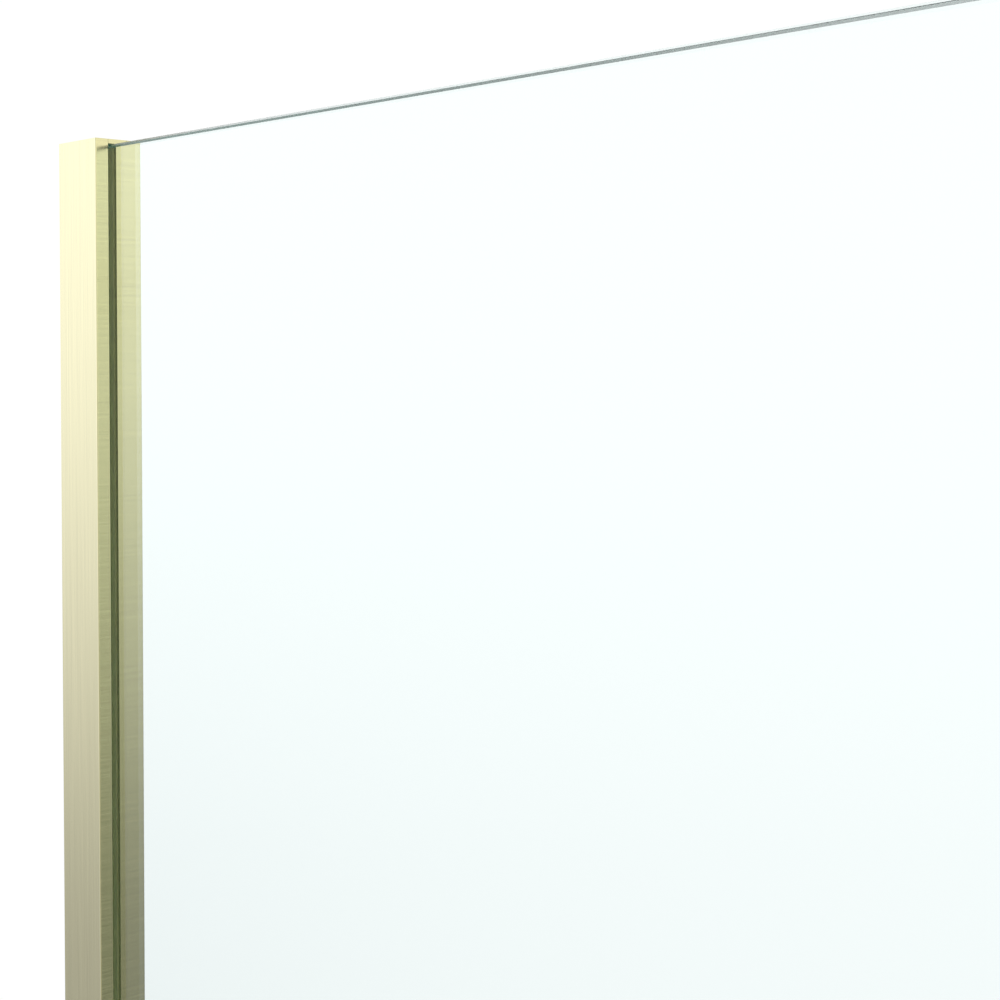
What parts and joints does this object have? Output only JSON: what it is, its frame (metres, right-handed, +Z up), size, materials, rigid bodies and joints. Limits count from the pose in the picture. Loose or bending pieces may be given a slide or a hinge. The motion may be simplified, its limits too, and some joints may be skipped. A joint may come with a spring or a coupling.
{
  "type": "walk-in shower screen",
  "caption": "Walk-in shower screen: a clear glass pane in a brushed brass-coloured wall post that slides on a channel, with a telescopic square brace to a second wall.",
  "frame": {"origin": "on the wall, at floor level, at the middle of the glass's thickness", "axes": "+X along the glass, away from the wall; +Y across the glass to its inner side, where the brace runs; +Z up"},
  "size_m": [1.185, 1.0115, 1.9597],
  "materials": {
    "mill_aluminium": "mill",
    "brushed_brass_post": "brushed and anodised in a pale brass colour",
    "brushed_brass_fitting": "brushed",
    "brushed_brass_tube": "brushed, coated in a pale brass colour",
    "stainless_steel": "turned",
    "clear_glass": "polished, toughened",
    "clear_plastic": "clear, extruded",
    "natural_plastic": "moulded",
    "gasket": "soft, satin"
  },
  "bodies": {
    "wall_side": {"wall_channel": "mill_aluminium"},
    "panel": {"post_profile": "brushed_brass_post", "glass_panel": "clear_glass", "front_gasket": "gasket", "rear_gasket": "gasket", "edge_packers": "natural_plastic", "setting_block": "natural_plastic", "lock_plates": "stainless_steel", "lock_screws": "stainless_steel", "lock_washers": "stainless_steel", "top_cap": "brushed_brass_post", "cap_screw": "stainless_steel", "floor_seal": "clear_plastic", "floor_packers": "natural_plastic", "glass_clamp": "brushed_brass_fitting", "front_pad": "gasket", "rear_pad": "gasket", "pressure_plate": "stainless_steel", "clamp_screws": "stainless_steel", "inner_tube": "brushed_brass_tube", "inner_tube_screw": "stainless_steel", "tube_slider": "natural_plastic"},
    "bar_outer": {"outer_tube": "brushed_brass_tube", "bar_collar": "brushed_brass_fitting", "collar_screw": "stainless_steel", "wall_bracket": "brushed_brass_fitting", "bracket_screw": "stainless_steel"}
  },
  "joints": [
    {"name": "width_adjust", "type": "slide", "parent": "wall_side", "child": "panel", "axis": [1, 0, 0], "range_m": [0, 0.015]},
    {"name": "brace_length", "type": "slide", "parent": "panel", "child": "bar_outer", "axis": [0, 1, 0], "range_m": [-0.25, 0.2]}
  ]
}
